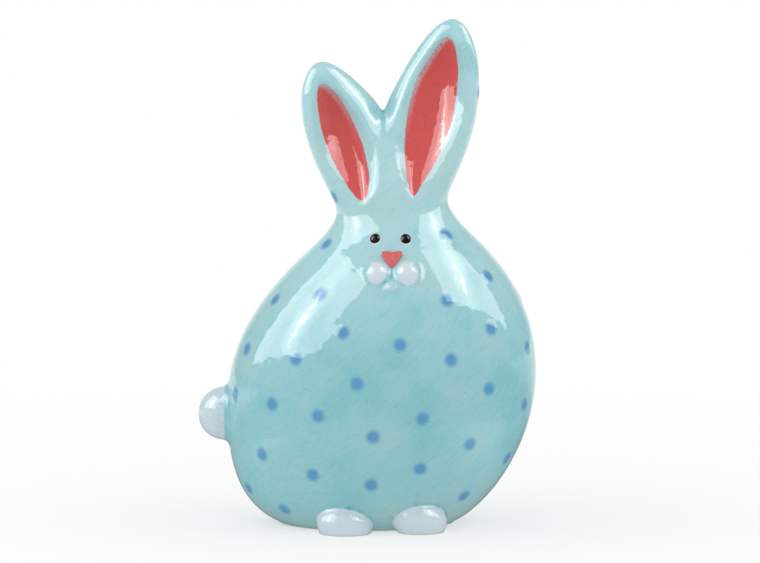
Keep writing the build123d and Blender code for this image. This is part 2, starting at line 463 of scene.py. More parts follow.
def stretch(piece, factors, centre):
    """Stretch a piece about a place."""
    with editing(piece):
        bpy.ops.mesh.select_all(action="SELECT")
        bpy.ops.transform.resize(value=factors, center_override=centre)


def apply_modifier(piece, kind, **settings):
    """Add a modifier to a piece and apply it."""
    only(piece)
    modifier = piece.modifiers.new(kind.title(), kind)
    for name, value in settings.items():
        setattr(modifier, name, value)
    bpy.ops.object.modifier_apply(modifier=modifier.name)


def smooth(piece, rounds, **settings):
    """Smooth a piece, or the part of it in a vertex group."""
    apply_modifier(piece, "SMOOTH", factor=0.5, iterations=rounds, **settings)


def displace(piece, group, weights, strength, direction="NORMAL"):
    """Move the vertices of a piece along a direction, each by its weight in a new vertex group."""
    weigh(piece, group, weights)
    apply_modifier(piece, "DISPLACE", direction=direction, strength=strength, mid_level=0, vertex_group=group)


def read(items, field, width=1, kind=np.int32):
    """Values of a mesh's items as an array."""
    values = np.empty(len(items) * width, kind)
    items.foreach_get(field, values)
    return values if width == 1 else values.reshape(-1, width)


def positions(mesh):
    """Vertex positions as an array."""
    return read(mesh.vertices, "co", 3, np.float32).astype(float)


def vertex_normals(mesh):
    """Vertex normals as an array."""
    return read(mesh.vertex_normals, "vector", 3, np.float32).astype(float)


def edge_ends(mesh):
    """Vertex numbers at the two ends of each edge."""
    return read(mesh.edges, "vertices", 2).T


def face_corners(mesh):
    """Vertex number of each face corner, and where each face's corners start."""
    return read(mesh.loops, "vertex_index"), read(mesh.polygons, "loop_start")


def face_parts(mesh):
    """Number of the part that each face belongs to."""
    return read(mesh.attributes["part"].data, "value")


def set_face_parts(mesh, parts):
    """Store the number of the part that each face belongs to."""
    label = mesh.attributes.get("part") or mesh.attributes.new("part", "INT", "FACE")
    label.data.foreach_set("value", parts)


def count_as_body(mesh, chosen):
    """Let the chosen faces belong to the body."""
    set_face_parts(mesh, np.where(chosen, 0, face_parts(mesh)).astype(np.int32))


def weigh(piece, name, weights):
    """Give a piece a vertex group with one weight for each vertex."""
    group = piece.vertex_groups.new(name=name)
    for i in np.flatnonzero(weights > 0):
        group.add([int(i)], float(weights[i]), "REPLACE")


def store(mesh, name, values):
    """Store one value for each vertex under a name that materials read."""
    kind, field = ("FLOAT", "value") if values.ndim == 1 else ("FLOAT_VECTOR", "vector")
    mesh.attributes.new(name, kind, "POINT").data.foreach_set(field, values.astype(np.float32).ravel())


def spread(values, ends, rounds):
    """Average each vertex's value with those of its neighbours, a number of times."""
    first, second = ends
    count = np.bincount(first, minlength=len(values)) + np.bincount(second, minlength=len(values))
    for _ in range(rounds):
        total = np.bincount(first, values[second], len(values)) + np.bincount(second, values[first], len(values))
        values = (values + total / np.maximum(count, 1)) / 2
    return values


def curvature(mesh):
    """Curvature at each vertex in 1/mm, above zero on edges and below zero in creases."""
    points = positions(mesh) / MM
    normals = vertex_normals(mesh)
    first, second = edge_ends(mesh)
    run = points[second] - points[first]
    bend = np.einsum("ij,ij->i", normals[second] - normals[first], run) / np.maximum((run**2).sum(1), 1e-9)
    total = np.bincount(first, bend, len(points)) + np.bincount(second, bend, len(points))
    count = np.bincount(first, minlength=len(points)) + np.bincount(second, minlength=len(points))
    return spread(total / np.maximum(count, 1), (first, second), 6)


def select_faces(piece, chosen):
    """Select the chosen faces of a piece and nothing else in it."""
    mesh = piece.data
    bpy.context.tool_settings.mesh_select_mode = (False, False, True)
    mesh.vertices.foreach_set("select", np.zeros(len(mesh.vertices), bool))
    mesh.edges.foreach_set("select", np.zeros(len(mesh.edges), bool))
    mesh.polygons.foreach_set("select", chosen)


def hide_faces(piece, chosen):
    """Mark faces that lie inside the figure, and split them into triangles."""
    mesh = piece.data
    hidden = mesh.attributes.get("hidden") or mesh.attributes.new("hidden", "INT", "FACE")
    values = read(hidden.data, "value")
    values[chosen] = 1
    hidden.data.foreach_set("value", values)
    select_faces(piece, chosen)
    with editing(piece):
        bpy.ops.mesh.quads_convert_to_tris(quad_method="BEAUTY", ngon_method="BEAUTY")


def cut_out(skin, part, keep=False):
    """Separate the faces of one part from the skin as an object of its own."""
    select_faces(skin, face_parts(skin.data) == SKIN_PARTS.index(part))
    with editing(skin):
        if keep:
            bpy.ops.mesh.duplicate()
        bpy.ops.mesh.separate(type="SELECTED")
    return next(o for o in bpy.context.selected_objects if o is not skin)


def cut_flat(piece, place, direction):
    """Cut away what lies on the side of a plane that the direction points to, and close the cut."""
    with editing(piece):
        bpy.ops.mesh.select_all(action="SELECT")
        bpy.ops.mesh.bisect(plane_co=place, plane_no=direction, use_fill=True, clear_outer=True, threshold=1e-7)
    mesh = piece.data
    off = np.abs((positions(mesh) - np.array(place)) @ np.array(Vector(direction).normalized())) > 0.001 * MM
    hide_faces(piece, np.array([not off[list(face.vertices)].any() for face in mesh.polygons]))


def close_cut(piece, inwards):
    """Close the cut edge of a piece with faces that run to a point inside the figure."""
    outside = len(piece.data.polygons)
    bpy.context.tool_settings.mesh_select_mode = (False, True, False)
    with editing(piece):
        bpy.ops.mesh.select_all(action="DESELECT")
        bpy.ops.mesh.select_non_manifold(
            use_wire=False, use_boundary=True, use_multi_face=False, use_non_contiguous=False, use_verts=False
        )
        bpy.ops.mesh.extrude_edges_move(TRANSFORM_OT_translate={"value": inwards})
        bpy.ops.mesh.merge(type="CENTER")
    closing = np.arange(len(piece.data.polygons)) >= outside
    count_as_body(piece.data, closing)
    hide_faces(piece, closing)


def shade_as_skin(piece):
    """Give the outside faces of a piece the normals of the whole skin, so that no cut shows."""
    mesh = piece.data
    only(piece)
    bpy.ops.object.shade_smooth()
    normals = read(mesh.attributes["skin_normal"].data, "vector", 3, np.float32)[face_corners(mesh)[0]]
    hidden = read(mesh.attributes["hidden"].data, "value")
    normals[np.repeat(hidden, read(mesh.polygons, "loop_total")) == 1] = 0
    mesh.normals_split_custom_set(normals.tolist())


def hand_over(piece, name, slot, *nodes):
    """Name a finished piece, give it its material and put it in the place of its solids."""
    material = bpy.data.materials.get(FINISHES[slot])
    if material is None:
        raise RuntimeError("The glazes have to be mixed before the pieces")
    piece.name = name
    piece.data.name = name
    piece.data.materials.clear()
    piece.data.materials.append(material)
    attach(piece, "root")
    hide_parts(*nodes)


def the_skin():
    """The skin from which the pieces are cut."""
    skin = bpy.data.objects.get("glaze_skin")
    if skin is None:
        raise RuntimeError("The glaze skin has to be made before its pieces")
    return skin


# Materials


def is_socket(value):
    """Tell a socket of a node from a plain value."""
    return isinstance(value, bpy.types.NodeSocket)


def feed(socket, value):
    """Link a value to a socket, or set the socket to a number or a colour."""
    if is_socket(value):
        socket.id_data.links.new(value, socket)
    else:
        socket.default_value = value


def fit(made, settings):
    """Set up a node: settings that name an input feed it, and others set the node itself."""
    for name, value in settings.items():
        if name in made.inputs:
            feed(made.inputs[name], value)
        else:
            setattr(made, name, value)
    return made


def node(tree, kind, **settings):
    """Add a node with its settings."""
    return fit(tree.nodes.new(kind), settings)


def noise(where, scale, detail=2.0, roughness=0.5, distortion=0.0):
    """Noise over the object's coordinates; scale counts the features in a metre."""
    settings = {"Vector": where, "Scale": scale, "Detail": detail, "Roughness": roughness, "Distortion": distortion}
    return node(where.id_data, "ShaderNodeTexNoise", **settings).outputs["Fac"]


def ramp(value, low, high, to_low=0.0, to_high=1.0):
    """Smooth step of a value from one pair of limits to another."""
    limits = {"From Min": low, "From Max": high, "To Min": to_low, "To Max": to_high}
    step = node(value.id_data, "ShaderNodeMapRange", interpolation_type="SMOOTHSTEP", Value=value, **limits)
    return step.outputs["Result"]


def calculate(operation, *values):
    """Arithmetic on values, of which at least one comes from a node."""
    tree = next(value for value in values if is_socket(value)).id_data
    made = node(tree, "ShaderNodeMath", operation=operation)
    for socket, value in zip(made.inputs, values):
        feed(socket, value)
    return made.outputs[0]


plus = partial(calculate, "ADD")
minus = partial(calculate, "SUBTRACT")
times = partial(calculate, "MULTIPLY")
larger = partial(calculate, "MAXIMUM")
absolute = partial(calculate, "ABSOLUTE")


def mixed(share, first, second):
    """Mix of two colours."""
    made = node(share.id_data, "ShaderNodeMix", data_type="RGBA")
    for number, value in ((0, share), (6, first), (7, second)):
        feed(made.inputs[number], value)
    return made.outputs[2]


def axes(where):
    """X, Y and Z of coordinates."""
    return node(where.id_data, "ShaderNodeSeparateXYZ", Vector=where).outputs


def attribute(tree, name):
    """Value that the mesh stores under a name."""
    return node(tree, "ShaderNodeAttribute", attribute_name=name).outputs["Fac"]


def rgba(value):
    """Colour with full alpha."""
    return (*value, 1.0)


def new_group(name, inputs, outputs):
    """Empty node group with named sockets, given by their kinds; its given values, and the node for its results."""
    tree = bpy.data.node_groups.new(name, "ShaderNodeTree")
    for direction, sockets in (("INPUT", inputs), ("OUTPUT", outputs)):
        for socket, kind in sockets.items():
            tree.interface.new_socket(socket, in_out=direction, socket_type="NodeSocket" + kind)
    return tree, tree.nodes.new("NodeGroupInput").outputs, tree.nodes.new("NodeGroupOutput")


def new_material(name):
    """New material, its shader and the object's coordinates in it."""
    material = bpy.data.materials.new(name)
    material.use_nodes = True
    tree = material.node_tree
    return material, tree.nodes["Principled BSDF"], node(tree, "ShaderNodeTexCoord").outputs["Object"]


def glaze_group():
    """Fired glaze: pooled in creases, thin over edges, faintly brushed, with specks, pinholes and soft waves; paler
    towards the top and near the base, which is partly painted light.
    """
    colours = dict.fromkeys(("Glaze", "Pale", "Pooled", "Thin"), "Color")
    tree, given, result = new_group(
        "fired_glaze",
        {"Coordinates": "Vector", "Curvature": "Float", **colours},
        {"Colour": "Color", "Roughness": "Float", "Height": "Float"},
    )
    where = given["Coordinates"]
    level = axes(where)["Z"]
    bend = given["Curvature"]
    cloud = noise(where, CLOUDS, detail=3)
    grain = noise(where, GRAIN)
    slanted = node(
        tree, "ShaderNodeMapping", vector_type="TEXTURE", Vector=where, Rotation=(0.3, -0.7, 0.2), Scale=(8, 2.5, 1)
    )
    strokes = noise(slanted.outputs["Vector"], STROKES, detail=3, roughness=0.6, distortion=0.2)
    worn = times(ramp(cloud, 0.42, 0.68, 0.35, 1), ramp(strokes, 0.54, 0.32, 0, 0.36))
    # The streaks grow stronger towards the top, adding to the paler top, which is partly painted light from above
    worn = times(worn, ramp(level, 35 * MM, 80 * MM, 0.55, 1))
    cells = node(tree, "ShaderNodeTexVoronoi", Vector=where, Scale=SPECKS, Randomness=1.0).outputs
    chance = node(tree, "ShaderNodeSeparateColor", Color=cells["Color"]).outputs
    speck = times(ramp(cells["Distance"], 0.045, 0.02), ramp(chance["Red"], 0.5, 0.51))
    pit = times(ramp(cells["Distance"], 0.085, 0.05), ramp(chance["Green"], 0.85, 0.86))

    shade = given["Glaze"]
    for tint, share in (
        # Paler towards the top: partly painted light from above, partly glaze that runs thin on the neck and ears
        ("Pale", ramp(level, 32 * MM, 88 * MM)),
        ("Pooled", ramp(cloud, 0.52, 0.3, 0, 0.28)),
        ("Pooled", ramp(strokes, 0.47, 0.7, 0, 0.18)),
        ("Thin", worn),
        ("Thin", ramp(cloud, 0.45, 0.75, 0, 0.22)),
        # Paler near the base: partly painted light from below, partly glaze that runs thin there
        ("Thin", ramp(level, 12 * MM, 1 * MM, 0, 0.3)),
        ("Thin", ramp(grain, 0.45, 0.75, 0, 0.3)),
        ("Pooled", ramp(grain, 0.55, 0.25, 0, 0.17)),
        ("Pooled", ramp(bend, -0.08, -0.45, 0, 0.8)),
        ("Thin", ramp(bend, 0.2, 0.8, 0, 0.2)),
        ("Pooled", times(speck, 0.5)),
    ):
        shade = mixed(share, shade, given[tint])

    relief = times(noise(where, WAVES, detail=1.5), WAVE_HEIGHT)
    relief = plus(relief, times(noise(where, PEEL, detail=1.5), PEEL_HEIGHT))
    relief = minus(relief, times(pit, PIT_DEPTH))
    relief = minus(relief, times(speck, SPECK_DEPTH))
    gloss = ramp(noise(where, SHEEN, detail=3), 0.3, 0.7, 0.03, 0.06)
    fit(result, {"Colour": shade, "Roughness": gloss, "Height": relief})


def brush_group():
    """Colour that a brush leaves inside an edge, with feathered hair marks along the edge and a thinner rim."""
    _, given, result = new_group(
        "brushed_colour",
        {
            "Coordinates": "Vector",
            **dict.fromkeys(("Inside", "Feather", "Roughen", "Dry"), "Float"),
            **dict.fromkeys(("Under", "Paint"), "Color"),
        },
        {"Colour": "Color"},
    )
    where = given["Coordinates"]
    hairs = minus(noise(where, 700, detail=3, roughness=0.6), 0.5)
    inside = plus(given["Inside"], times(hairs, given["Roughen"]))
    cover = ramp(inside, times(given["Feather"], -0.5), times(given["Feather"], 0.5))
    streaks = ramp(noise(where, 2400, detail=3, roughness=0.65), 0.25, 0.7, 0.93, 1.0)
    bare = ramp(noise(where, 1500, detail=3, roughness=0.7), 0.3, 0.7, 0.15, 0.85)
    share = times(times(cover, streaks), minus(1.0, times(bare, given["Dry"])))
    fit(result, {"Colour": mixed(share, given["Under"], given["Paint"])})


def glaze_material(name, paint, inside, feather, roughen, dry=None):
    """Turquoise glaze with one colour brushed on it where the mesh says so, and where the brush ran dry; on the tail
    the extra dryness of the white is painted shade.
    """
    colours = bpy.context.scene.rabbit_colours
    ring_width = bpy.context.scene.rabbit_sizes.eye_ring / MM
    _, shader, where = new_material(name)
    tree = shader.id_data
    glaze = node(
        tree,
        "ShaderNodeGroup",
        node_tree=bpy.data.node_groups["fired_glaze"],
        Coordinates=where,
        Curvature=attribute(tree, "curvature"),
        Glaze=rgba(colours.turquoise),
        Pale=rgba(colours.pale),
        Pooled=rgba(colours.pooled),
        Thin=rgba(colours.thin),
    ).outputs
    brush = node(
        tree,
        "ShaderNodeGroup",
        node_tree=bpy.data.node_groups["brushed_colour"],
        Coordinates=where,
        Inside=attribute(tree, inside),
        Feather=feather,
        Roughen=roughen,
        Dry=attribute(tree, dry) if dry else 0.0,
        Under=glaze["Colour"],
        Paint=rgba(paint),
    ).outputs
    ring = ramp(attribute(tree, "eye_distance"), ring_width + 0.12, ring_width - 0.12, 0, 0.65)
    shade = mixed(ring, brush["Colour"], rgba(colours.white))
    clay = ramp(axes(where)["Z"], 0.25 * MM, 0.12 * MM)
    bump = node(tree, "ShaderNodeBump", Strength=1.0, Distance=MM, Height=glaze["Height"])
    look = {
        "Base Color": mixed(clay, shade, rgba(colours.bisque)),
        "Roughness": plus(glaze["Roughness"], times(clay, 0.75)),
        "Normal": bump.outputs["Normal"],
        "IOR": 1.5,
    }
    fit(shader, look)


class RABBIT_OT_glazes(bpy.types.Operator):
    """Mix the glazes"""

    bl_idname = "rabbit.glazes"
    bl_label = "Glazes"

    def execute(self, context):
        colours = context.scene.rabbit_colours
        glaze_group()
        brush_group()
        glaze_material(FINISHES["turquoise_glaze"], colours.dots, "dot_inside", 1.7, 0.2)
        glaze_material(FINISHES["white_glaze"], colours.white, "white_inside", 0.5, 0.35, "white_dry_and_tail_shade")
        glaze_material(FINISHES["coral_glaze"], colours.coral, "coral_inside", 0.35, 0.35, "coral_dry")
        _, shader, where = new_material(FINISHES["black_glaze"])
        cloud = noise(where, 900, detail=3)
        tone = mixed(ramp(cloud, 0.3, 0.7), rgba(colours.black), (0.012, 0.011, 0.013, 1))
        gloss = ramp(cloud, 0.3, 0.7, 0.02, 0.04)
        fit(shader, {"Base Color": tone, "Roughness": gloss, "Specular IOR Level": 0.3})
        return {"FINISHED"}


# Pieces


class RABBIT_OT_skin(bpy.types.Operator):
    """Fuse the glazed parts into one soft skin and mark where the colours go"""

    bl_idname = "rabbit.skin"
    bl_label = "Glaze skin"

    def execute(self, context):
        sizes = context.scene.rabbit_sizes
        skin = copy_of_parts([name for name in SKIN_PARTS if name not in TOES], "glaze_skin")
        skin.name = "glaze_skin"
        self.add_toes(skin)
        apply_modifier(skin, "REMESH", mode="VOXEL", voxel_size=sizes.skin_detail)
        self.open_notch(skin, sizes.notch_depth)
        smooth(skin, sizes.softening)
        cavity = self.mark_parts(skin)
        self.soften(skin, sizes.neck_softening)
        self.hollow_ears(skin, sizes.ear_hollow)
        self.thin_out(skin, cavity)
        self.raise_dots(skin, sizes)
        self.wobble(skin, sizes.wobble)
        self.stand_flat(skin)
        self.mark_colours(skin, sizes)
        store(skin.data, "curvature", curvature(skin.data))
        store(skin.data, "skin_normal", vertex_normals(skin.data))
        return {"FINISHED"}

    def add_toes(self, skin):
        """Join a round egg for each toe to the skin."""
        for middle, radii, (roll, turn) in TOES.values():
            bpy.ops.object.select_all(action="DESELECT")
            bpy.ops.mesh.primitive_uv_sphere_add(
                segments=64,
                ring_count=32,
                radius=1,
                location=Vector(middle) * MM,
                rotation=(0, math.radians(roll), math.radians(turn)),
                scale=Vector(radii) * MM,
            )
            skin.select_set(True)
            bpy.context.view_layer.objects.active = skin
            bpy.ops.object.join()

    def open_notch(self, skin, depth):
        """Push the bottom of the notch between the ears down, so that smoothing leaves it round."""
        bottom = surface(skin.data).ray_cast(Vector((crease_x(), 0, 0.2)), Vector((0, 0, -1)))[0]
        away = np.linalg.norm((positions(skin.data) - np.array(bottom)) * (1, 0.4, 1), axis=1) / MM
        displace(skin, "notch", fade(away, *NOTCH_FADE), -depth, "Z")

    def mark_parts(self, skin):
        """Give each face the number of the part whose solid is nearest, and tell which vertices line the cavity.

        The ears and their linings count as body until they are cut, and the toes until their colour is marked.
        """
        points = positions(skin.data)
        nearest = np.full(len(points), np.inf)
        owner = np.zeros(len(points), np.int32)
        cavity = np.zeros(len(points), bool)
        middle = middle_of("body_shell")
        for number, name in enumerate(SKIN_PARTS):
            low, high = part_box(name)
            near = np.all((points > np.array(low) - MM) & (points < np.array(high) + MM), axis=1)
            tree = surface(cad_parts[name].data)
            for i in np.flatnonzero(near):
                place, normal, _, distance = tree.find_nearest(points[i])
                if name == "body_shell":
                    cavity[i] = normal.dot(place - middle) < 0
                if distance < nearest[i]:
                    nearest[i] = distance
                    owner[i] = number
        ends = edge_ends(skin.data)
        corners, starts = face_corners(skin.data)
        best = np.full(len(starts), 0.5)
        parts = np.zeros(len(starts), np.int32)
        for name in ("tail", "left_cheek", "right_cheek", "chin"):
            number = SKIN_PARTS.index(name)
            share = spread((owner == number).astype(float), ends, 4)
            share = np.add.reduceat(share[corners], starts) / 4
            parts[share > best] = number
            best = np.maximum(best, share)
        set_face_parts(skin.data, parts)
        return cavity

    def soften(self, skin, reach):
        """Let the glaze fill the neck, the crease of the ears and the feet of tail and toes, and round the chin."""
        points = positions(skin.data)
        x, y, z = points.T
        upwards = np.array(Vector((-NECK_RISE, 0, 1)).normalized())
        off = np.abs((points - np.array(NECK_MIDDLE)) @ upwards)
        flank = rise(np.abs(x - NECK_MIDDLE[0]) / MM, *FLANK_FADE)
        flank[y > 0] = 1
        neck = fade(off / reach, 0.25, 1) * flank
        chin = fade(np.linalg.norm(points - np.array(middle_of("chin")), axis=1) / MM, *CHIN_FADE)
        crease = fade(np.abs(x - crease_x()) / MM, *CREASE_FADE)
        crease[(z < NECK_MIDDLE[2]) | (y > 0)] = 0
        low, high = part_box("tail")
        middle = middle_of("tail")
        off = np.linalg.norm(points - np.array(middle), axis=1) - (high.z - low.z) / 2
        tail = fade(np.abs(off) / MM, *TAIL_FADE)
        tail *= rise((x - middle.x) / MM, *TAIL_FADE) * (x < high.x + 2 * MM)
        toes = np.zeros(len(points))
        for middle, radii, _ in TOES.values():
            off = np.linalg.norm((points / MM - middle) / radii, axis=1)
            ring = rise(off, *TOE_RING_START) * fade(off, *TOE_RING_END)
            toes = np.maximum(toes, ring * rise(z / MM, 2.5, 5))
        weigh(skin, "soft", np.maximum.reduce([neck, chin * 0.5, crease * 0.8, tail, toes * 0.6]))
        smooth(skin, SEAM_ROUNDS, vertex_group="soft")

    def hollow_ears(self, skin, depth):
        """Deepen the hollow of each ear towards its outer edge, and round its inner rim near the foot."""
        points = positions(skin.data)
        pixels = photo_pixels(points)
        facing = fade(vertex_normals(skin.data)[:, 1], -0.45, 0)
        hollow = np.zeros(len(points))
        rim = np.zeros(len(points))
        for outline, inwards, deepest in EARS.values():
            chosen = (points[:, 2] > NECK_MIDDLE[2]) & ((crease_x() - points[:, 0]) * inwards > 0)
            share = across_outline(pixels[chosen], outline)
            if inwards < 0:
                share = 1 - share
            top, bottom = min(y for _, y in outline), max(y for _, y in outline)
            height = (bottom - pixels[chosen, 1]) / (bottom - top)
            dip = rise(share, -0.12, deepest) * fade(share, deepest, 1.3)
            dip *= rise(height, 0, 0.3) * fade(height, 0.8, 1.06)
            hollow[chosen] = dip * (0.42 + 0.58 * rise(height, 0.2, 0.85)) * facing[chosen]
            inner = rise(share, 0.8, 1.0) * fade(share, 1.25, 1.5)
            rim[chosen] = inner * fade(height, 0.4, 0.6) * facing[chosen]
        displace(skin, "hollow", hollow, depth, "Y")
        weigh(skin, "inner_rim", rim)
        smooth(skin, RIM_ROUNDS, vertex_group="inner_rim")
        smooth(skin, HOLLOW_ROUNDS, vertex_group="hollow")

    def thin_out(self, skin, cavity):
        """Leave only as many faces in the drained cavity as its plain shape needs."""
        weigh(skin, "cavity", cavity.astype(float))
        kept = 1 - CAVITY_SPARE * cavity.mean()
        apply_modifier(skin, "DECIMATE", ratio=kept, vertex_group="cavity", vertex_group_factor=1.0)

    def dot_places(self, skin, sizes):
        """Middles of the dots: those in the photograph, and staggered rows where it doesn't look."""
        spacing = sizes.dot_spacing
        tree = surface(skin.data)
        eye, _, _, forward = camera_axes()
        places = [seen_at(tree, pixel) for pixel in DOT_PIXELS]
        for pixel in EAR_BACK_DOT_PIXELS:
            places.append(tree.find_nearest(seen_at(tree, pixel) + forward * sizes.dot_radius * 1.3)[0])

        def is_free(place):
            """Tell whether a dot has room at a place."""
            return min((place - other).length for other in places) > spacing * DOT_APART

        chance = random.Random(7)
        low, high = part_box("body_shell")
        middle = middle_of("body_shell")
        tail = middle_of("tail")
        for row in range(int((high.z - low.z) / spacing * DOT_ROWS)):
            z = low.z + (row + 0.8) * spacing / DOT_ROWS
            for turn in range(DOT_TURNS):
                angle = (turn + row % 2 / 2) * math.tau / DOT_TURNS
                way = Vector((math.cos(angle), math.sin(angle), 0))
                height = z + chance.uniform(-1, 1) * DOT_STRAY * MM
                place, normal = tree.ray_cast(Vector((middle.x, 0, height)) + way * 0.2, -way)[:2]
                if place is None or normal.dot((eye - place).normalized()) > 0.05:
                    continue
                if any(abs(c) > limit - 0.2 * MM for c, limit in zip(place, solid_box[1])):
                    continue
                if (place - tail).length >= spacing * DOT_TAIL_APART and is_free(place):
                    places.append(place)
        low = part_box("left_ear")[0]
        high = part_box("right_ear")[1]
        for row in range(int((high.z - low.z) / spacing * 2)):
            for column in range(int((high.x - low.x) / spacing * 2)):
                across, above = (
                    start + (step + 0.5 + chance.uniform(-EAR_DOT_STRAY, EAR_DOT_STRAY)) * spacing / 2
                    for start, step in ((low.x, column), (low.z, row))
                )
                place, normal = tree.ray_cast(Vector((across, 0.2, above)), Vector((0, -1, 0)))[:2]
                if place is not None and normal.y >= 0.75 and is_free(place):
                    places.append(place)
        return places

    def raise_dots(self, skin, sizes):
        """Raise the dots a little and mark how far inside one each vertex lies."""
        points = positions(skin.data)
        nearest = np.full(len(points), np.inf)
        for place in self.dot_places(skin, sizes):
            nearest = np.minimum(nearest, np.linalg.norm(points - np.array(place), axis=1))
        displace(skin, "dots", np.clip(1 - (nearest / (1.35 * sizes.dot_radius)) ** 2, 0, 1), sizes.dot_rise)
        store(skin.data, "dot_inside", np.maximum((sizes.dot_radius - nearest) / MM, -FAR))

    def wobble(self, skin, height):
        """Give the surface the slight unevenness of a casting."""
        texture = bpy.data.textures.new("casting", "CLOUDS")
        texture.noise_scale = 14 * MM
        apply_modifier(skin, "DISPLACE", texture=texture, texture_coords="LOCAL", strength=height, mid_level=1.0)

    def stand_flat(self, skin):
        """Flatten the underside on the ground and keep the skin inside the box of the solids."""
        points = positions(skin.data)
        points[points[:, 2] < 0.35 * MM, 2] = 0
        points = np.clip(points, np.array(solid_box[0]), np.array(solid_box[1]))
        skin.data.vertices.foreach_set("co", points.astype(np.float32).ravel())
        skin.data.update()

    def mark_colours(self, skin, sizes):
        """Mark how many millimetres inside each colour every vertex lies, and give the colour's faces to its part."""
        mesh = skin.data
        points = positions(mesh)
        x, y, z = points.T
        pixels = photo_pixels(points)
        front = vertex_normals(mesh)[:, 1] < 0.2
        corners, starts = face_corners(mesh)
        parts = face_parts(mesh)

        def claim(name, chosen, distances):
            """Spread distances inside a colour over the skin, and give the faces in it and near it to a part."""
            inside = np.full(len(points), -FAR)
            inside[chosen] = distances
            parts[np.minimum.reduceat(inside[corners], starts) > -CUT_MARGIN] = SKIN_PARTS.index(name)
            return inside

        ear = front & (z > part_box("left_ear_lining")[0].z - 2 * MM)
        coral = np.full(len(points), -FAR)
        feather = np.full(len(points), -FAR)
        for name, (outline, inwards, _) in EARS.items():
            coral = np.maximum(coral, claim(f"{name}_lining", ear, inside_outline(pixels[ear], outline)))
            shifted = pixels[ear] + (FEATHER_SHIFT * inwards, -FEATHER_SHIFT)
            feather[ear] = np.maximum(feather[ear], inside_outline(shifted, outline))
        store(mesh, "coral_inside", coral)
        store(mesh, "coral_dry", np.where(ear, fade(feather, -0.6, 0.6) * fade(pixels[:, 1], *FEATHER_ROWS), 0))

        white = np.full(len(points), -FAR)
        low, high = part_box("right_cheek")
        face = front & (y < 0) & (z > low.z - 4 * MM) & (z < high.z + 2 * MM)
        for name, (oval, most) in FACE_WHITES.items():
            white = np.maximum(white, np.minimum(claim(name, face, inside_oval(pixels[face], oval)), most))
        low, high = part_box("tail")
        tail = (x < high.x) & (z > low.z - MM) & (z < high.z + MM)
        white[tail] = np.maximum(white[tail], (sizes.tail_edge - x[tail]) / MM)
        tree = surface(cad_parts["body_shell"].data)
        heart = middle_of("body_shell")
        for name, (middle, radii, _) in TOES.items():
            near = np.flatnonzero(np.all(np.abs(points / MM - middle) < np.array(radii) + 1, axis=1))
            away = []
            for i in near:
                place, normal, _, distance = tree.find_nearest(points[i])
                if normal.dot(place - heart) < 0:  # the place lines the cavity
                    distance = -FAR * MM
                elif (Vector(points[i]) - place).dot(normal) < 0:
                    distance = -distance
                away.append(distance)
            white = np.maximum(white, claim(name, near, (np.array(away) - sizes.toe_margin) / MM))
        store(mesh, "white_inside", white)
        # The brush runs drier on the tail than on the toes, letting more turquoise through: painted shade that
        # darkens the tail against the left soft box's light; the toes' dryness is the brush's
        store(mesh, "white_dry_and_tail_shade", np.where(face, 0, np.where(x < sizes.tail_edge, 0.45, 0.3)))
        set_face_parts(mesh, parts)

        ring = np.full(len(points), FAR)
        for name in EYES:
            low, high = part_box(name)
            away = (points - np.array(middle_of(name))) / (1, 1, sizes.eye_stretch)
            ring = np.minimum(ring, (np.linalg.norm(away, axis=1) - (high.x - low.x) / 2) / MM)
        store(mesh, "eye_distance", ring)


class RABBIT_OT_linings(bpy.types.Operator):
    """Lift the coral coats out of the ears and let a pocket for each into the ear"""

    bl_idname = "rabbit.linings"
    bl_label = "Ear linings"

    def execute(self, context):
        thickness = context.scene.rabbit_sizes.lining_thickness
        skin = the_skin()
        for ear in EARS:
            part = f"{ear}_lining"
            piece = cut_out(skin, part, keep=True)
            outside = len(piece.data.polygons)
            apply_modifier(piece, "SOLIDIFY", thickness=thickness, offset=-1, use_quality_normals=True)
            hide_faces(piece, np.arange(len(piece.data.polygons)) >= outside)
            shade_as_skin(piece)
            hand_over(piece, f"{ear}_coral", "coral_glaze", part)

            select_faces(skin, face_parts(skin.data) == SKIN_PARTS.index(part))
            with editing(skin):
                bpy.ops.mesh.extrude_region_shrink_fatten(TRANSFORM_OT_shrink_fatten={"value": -thickness})
            count_as_body(skin.data, face_parts(skin.data) == SKIN_PARTS.index(part))
        return {"FINISHED"}


class RABBIT_OT_ears(bpy.types.Operator):
    """Cut the two ears off the skin, at the neck and along the crease between them"""

    bl_idname = "rabbit.ears"
    bl_label = "Ears"

    def execute(self, context):
        skin = the_skin()
        upwards = Vector((-NECK_RISE, 0, 1))
        for name, (_, inwards, _) in EARS.items():
            ear = bpy.data.objects.new(name, skin.data.copy())
            context.scene.collection.objects.link(ear)
            cut_flat(ear, NECK_MIDDLE, -upwards)
            cut_flat(ear, (crease_x(), 0, 0), Vector((inwards, 0, 0)))
            shade_as_skin(ear)
            hand_over(ear, f"{name}_glazed", "turquoise_glaze", name)
        cut_flat(skin, NECK_MIDDLE, upwards)
        return {"FINISHED"}


def white_pieces(parts, inwards):
    """Cut white parts out of the skin, close the skin and each part, and hand the parts over."""
    skin = the_skin()
    for part in parts:
        piece = cut_out(skin, part)
        close_cut(piece, inwards)
        close_cut(skin, inwards)
        shade_as_skin(piece)
        hand_over(piece, f"{part}_glazed", "white_glaze", part)


class RABBIT_OT_tail(bpy.types.Operator):
    """Cut the tail out of the skin"""

    bl_idname = "rabbit.tail"
    bl_label = "Tail"

    def execute(self, context):
        white_pieces(("tail",), (2 * MM, 0, 0))
        return {"FINISHED"}


class RABBIT_OT_toes(bpy.types.Operator):
    """Cut the two toes out of the skin"""

    bl_idname = "rabbit.toes"
    bl_label = "Toes"

    def execute(self, context):
        white_pieces(TOES, (0, 2 * MM, 0))
        return {"FINISHED"}


